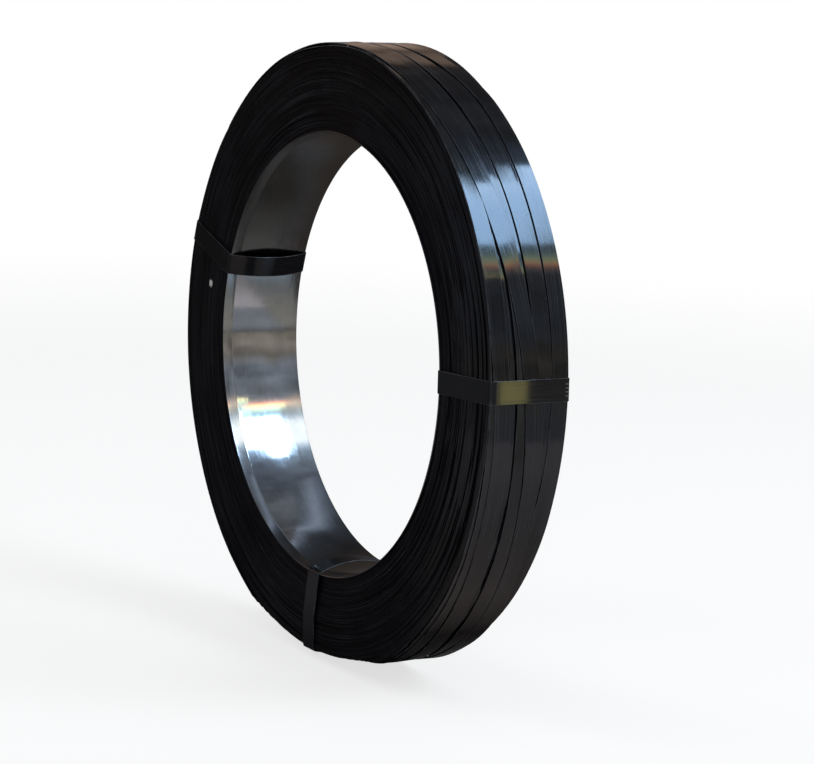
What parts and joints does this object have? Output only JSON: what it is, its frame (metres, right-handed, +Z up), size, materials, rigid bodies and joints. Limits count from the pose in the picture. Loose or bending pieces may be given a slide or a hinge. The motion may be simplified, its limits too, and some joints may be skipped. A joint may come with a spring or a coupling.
{
  "type": "coil of steel strapping",
  "caption": "Coil of black-painted steel strapping wound on a bare steel core ring and held by crimped tie straps, standing on its rim.",
  "frame": {"origin": "centre of the core ring's bore, midway between the coil's ends", "axes": "+Y along the coil's axis towards the end that carries the seals, +Z up as the coil stands on its rim, +X across the coil"},
  "size_m": [0.5712, 0.0848, 0.5711],
  "materials": {
    "strap_paint": "gloss",
    "core_steel": "bare rolled",
    "tie_paint": "satin",
    "seal_metal": "copper brown lacquer"
  },
  "bodies": {
    "root": {"strap_winding": "strap_paint", "core_ring": "core_steel", "tie_strap_left": "tie_paint", "tie_strap_right": "tie_paint", "tie_strap_bottom": "tie_paint", "seal_left": "seal_metal", "seal_right": "seal_metal", "seal_bottom": "seal_metal"}
  },
  "joints": []
}
